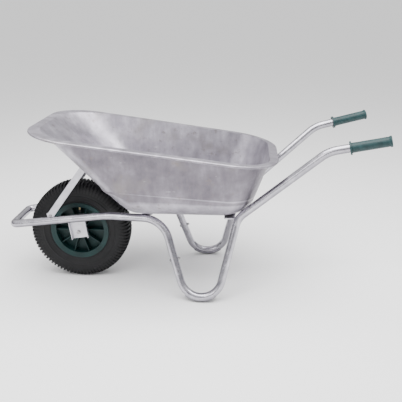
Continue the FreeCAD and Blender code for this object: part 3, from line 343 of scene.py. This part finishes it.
def ring_of(sheet, edges, steps):
    """Turn a section once round the wheel's axle line."""
    bmesh.ops.spin(sheet, geom=edges, cent=axle_line, axis=(0, 1, 0), dvec=(0, 0, 0),
                   angle=2 * math.pi, steps=steps, use_merge=True, use_duplicate=False)
    bmesh.ops.remove_doubles(sheet, verts=sheet.verts, dist=0.00002)
    bmesh.ops.recalc_face_normals(sheet, faces=sheet.faces)


def line_of(sheet, points):
    """Vertices joined one after another."""
    verts = [sheet.verts.new(point) for point in points]
    edges = [sheet.edges.new(pair) for pair in zip(verts, verts[1:])]
    return verts, edges


def as_piece(name, sheet, body, finish, smooth_angle=None):
    """A finished mesh that moves with a body and wears a finish."""
    mesh = bpy.data.meshes.new(name)
    sheet.to_mesh(mesh)
    sheet.free()
    piece = bpy.data.objects.new(name, mesh)
    bpy.context.scene.collection.objects.link(piece)
    mesh.materials.append(finish.material)
    if smooth_angle:
        for polygon in mesh.polygons:
            polygon.use_smooth = True
        mesh.set_sharp_from_angle(angle=math.radians(smooth_angle))
    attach(piece, body)
    return piece


tyre_sheet = bmesh.new()
outline = [(axle_line.x, axle_line.y + across, axle_line.z + radius) for radius, across in side_points]
mirrored = [(axle_line.x, axle_line.y - across, axle_line.z + radius) for radius, across in side_points[1:-1]]
ring_verts, ring_edges = line_of(tyre_sheet, outline + mirrored[::-1])
ring_edges.append(tyre_sheet.edges.new((ring_verts[-1], ring_verts[0])))
ring_of(tyre_sheet, ring_verts + ring_edges, 2 * LUGS)

# One lug: a strip across the shoulder, as thick as the tread is deep, turned round the wheel.
lug_top = ((199.7, 8.5), (199.2, 24.0), (198.2, 33.0), (194.6, 40.2), (187.0, 45.6), (176.0, 48.4),
           (163.0, 49.0))
lug_root = ((160.5, 48.0), (172.0, 46.6), (180.6, 44.0), (187.0, 39.0), (190.6, 31.6), (192.0, 19.6),
            (192.6, 8.0))
lug_half_length = 3.9 * MM
for side in (1, -1):
    lug = bmesh.new()
    loop = [(axle_line.x - lug_half_length, axle_line.y + side * across * MM, axle_line.z + radius * MM)
            for radius, across in lug_top + lug_root]
    face = lug.faces.new([lug.verts.new(point) for point in loop])
    grown = bmesh.ops.extrude_face_region(lug, geom=[face])
    moved = [part for part in grown["geom"] if isinstance(part, bmesh.types.BMVert)]
    bmesh.ops.translate(lug, verts=moved, vec=(2 * lug_half_length, 0, 0))
    bmesh.ops.recalc_face_normals(lug, faces=lug.faces)
    rims = [edge for edge in lug.edges if len(edge.link_faces) == 2
            and edge.calc_face_angle() > 0.9 and min(v.co.z for v in edge.verts) > axle_line.z + 0.163]
    bmesh.ops.bevel(lug, geom=rims, offset=0.7 * MM, offset_type="OFFSET", affect="EDGES", segments=1,
                    profile=0.5, material=-1)
    # Lugs of the two sides are staggered by half a pitch.
    bmesh.ops.rotate(lug, verts=lug.verts, cent=axle_line,
                     matrix=Matrix.Rotation(math.pi / LUGS * (side < 0), 3, "Y"))
    bmesh.ops.spin(lug, geom=lug.verts[:] + lug.edges[:] + lug.faces[:], cent=axle_line, axis=(0, 1, 0),
                   dvec=(0, 0, 0), angle=2 * math.pi * (LUGS - 1) / LUGS, steps=LUGS - 1,
                   use_merge=False, use_duplicate=True)
    lug_mesh = bpy.data.meshes.new("lug_ring")
    lug.to_mesh(lug_mesh)
    lug.free()
    tyre_sheet.from_mesh(lug_mesh)
    bpy.data.meshes.remove(lug_mesh)

# The crown's row of blocks.
block = bmesh.new()
bmesh.ops.create_cube(block, size=1)
bmesh.ops.scale(block, vec=(8.6 * MM, 11.0 * MM, 8.0 * MM), verts=block.verts)
bmesh.ops.bevel(block, geom=block.edges[:], offset=0.8 * MM, offset_type="OFFSET", affect="EDGES", segments=1,
                profile=0.5, material=-1)
bmesh.ops.translate(block, vec=axle_line + Vector((0, 0, 195.9 * MM)), verts=block.verts)
bmesh.ops.rotate(block, verts=block.verts, cent=axle_line, matrix=Matrix.Rotation(math.pi / LUGS / 2, 3, "Y"))
bmesh.ops.spin(block, geom=block.verts[:] + block.edges[:] + block.faces[:], cent=axle_line, axis=(0, 1, 0),
               dvec=(0, 0, 0), angle=2 * math.pi * (LUGS - 1) / LUGS, steps=LUGS - 1,
               use_merge=False, use_duplicate=True)
block_mesh = bpy.data.meshes.new("block_ring")
block.to_mesh(block_mesh)
block.free()
tyre_sheet.from_mesh(block_mesh)
bpy.data.meshes.remove(block_mesh)

rubber = Finish("tyre_rubber", (0.02, 0.02, 0.02), 0.6, 0.0)
dust = rubber.noise(14.0, 6.0, 0.6)
rubber.set("Base Color", rubber.ramp(dust, (0.3, (0.003, 0.003, 0.0035)), (0.75, (0.010, 0.010, 0.011))))
rubber.set("Roughness", 0.48 + dust * 0.25)
rubber.set("Specular IOR Level", 0.28)
rubber.bump(rubber.noise(180.0, 3.0), 0.25, 0.0006)
tyre = as_piece("lugged_tyre", tyre_sheet, "wheel", rubber, 32)
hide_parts("tyre")
wear(rubber, "tyre", "inner_tube")

# ---------------------------------------------------------------- welds
# The frame's flat pieces are welded to its tubes by hand. Each weld is a short rippled bead
# of bare steel along an edge.
weld_steel = Finish("weld_steel", (0.40, 0.39, 0.39), 0.42, 1.0)
weld_heat = weld_steel.noise(90.0, 4.0, 0.6)
weld_steel.set("Base Color", weld_steel.ramp(weld_heat, (0.35, (0.27, 0.25, 0.25)),
                                             (0.65, (0.50, 0.49, 0.51))))
weld_steel.set("Roughness", 0.34 + weld_heat * 0.3)
weld_steel.bump(weld_heat, 0.3, 0.0006)


def weld(name, start, end, size):
    """A rippled bead from one point to another."""
    start = Vector(start)
    run = Vector(end) - start
    count = max(2, round(run.length / (0.6 * size)))
    turn = run.to_track_quat("X", "Z").to_matrix()
    bead = bmesh.new()
    for i in range(count + 1):
        ripple = bmesh.ops.create_icosphere(bead, subdivisions=1, radius=size)
        bmesh.ops.scale(bead, vec=(0.62, 1.0, 1.0), verts=ripple["verts"])
        bmesh.ops.rotate(bead, matrix=turn, verts=ripple["verts"])
        bmesh.ops.translate(bead, vec=start + run * (i / count), verts=ripple["verts"])
    piece = as_piece(name, bead, "frame", weld_steel, 60)
    return piece


rail_front = Vector((-0.69082, 0.0907, 0.2403))
rail_rear = Vector((-0.31082, 0.1200, 0.2960))
tube_radius = 15 * MM


def rail_at(x, side):
    """The middle of a sloping rail, at a place along the barrow."""
    place = rail_front.lerp(rail_rear, (x - rail_front.x) / (rail_rear.x - rail_front.x))
    return Vector((place.x, side * place.y, place.z))


for label, side in (("left", -1), ("right", 1)):
    # Each strap tab is welded along the crown of its rail, on the side that faces the wheel.
    tab_low, tab_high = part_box("strap_tab_" + label)
    tab_face = Vector((0, side * 8.4 * MM, -tube_radius + 2.0 * MM))
    weld("tab_weld_" + label, rail_at(tab_low.x + 3 * MM, side) - tab_face,
         rail_at(tab_high.x - 3 * MM, side) - tab_face, 1.8 * MM)
    # Each axle bracket is welded along its folded top, against the inner side of the rail.
    bracket_low, bracket_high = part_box("axle_bracket_" + label)
    bracket_seat = Vector((0, side * tube_radius, 1.0 * MM))
    weld("bracket_weld_" + label, rail_at(bracket_low.x + 4 * MM, side) - bracket_seat,
         rail_at(bracket_high.x - 4 * MM, side) - bracket_seat, 2.0 * MM)
    for name in ("front_seat_bar", "rear_seat_bar"):
        bar_low, bar_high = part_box(name)
        bar_end = max(abs(bar_low.y), abs(bar_high.y)) - 3 * MM
        weld("%s_weld_%s" % (name, label), (bar_low.x + 4 * MM, side * bar_end, bar_low.z),
             (bar_high.x - 4 * MM, side * bar_end, bar_low.z), 2.0 * MM)
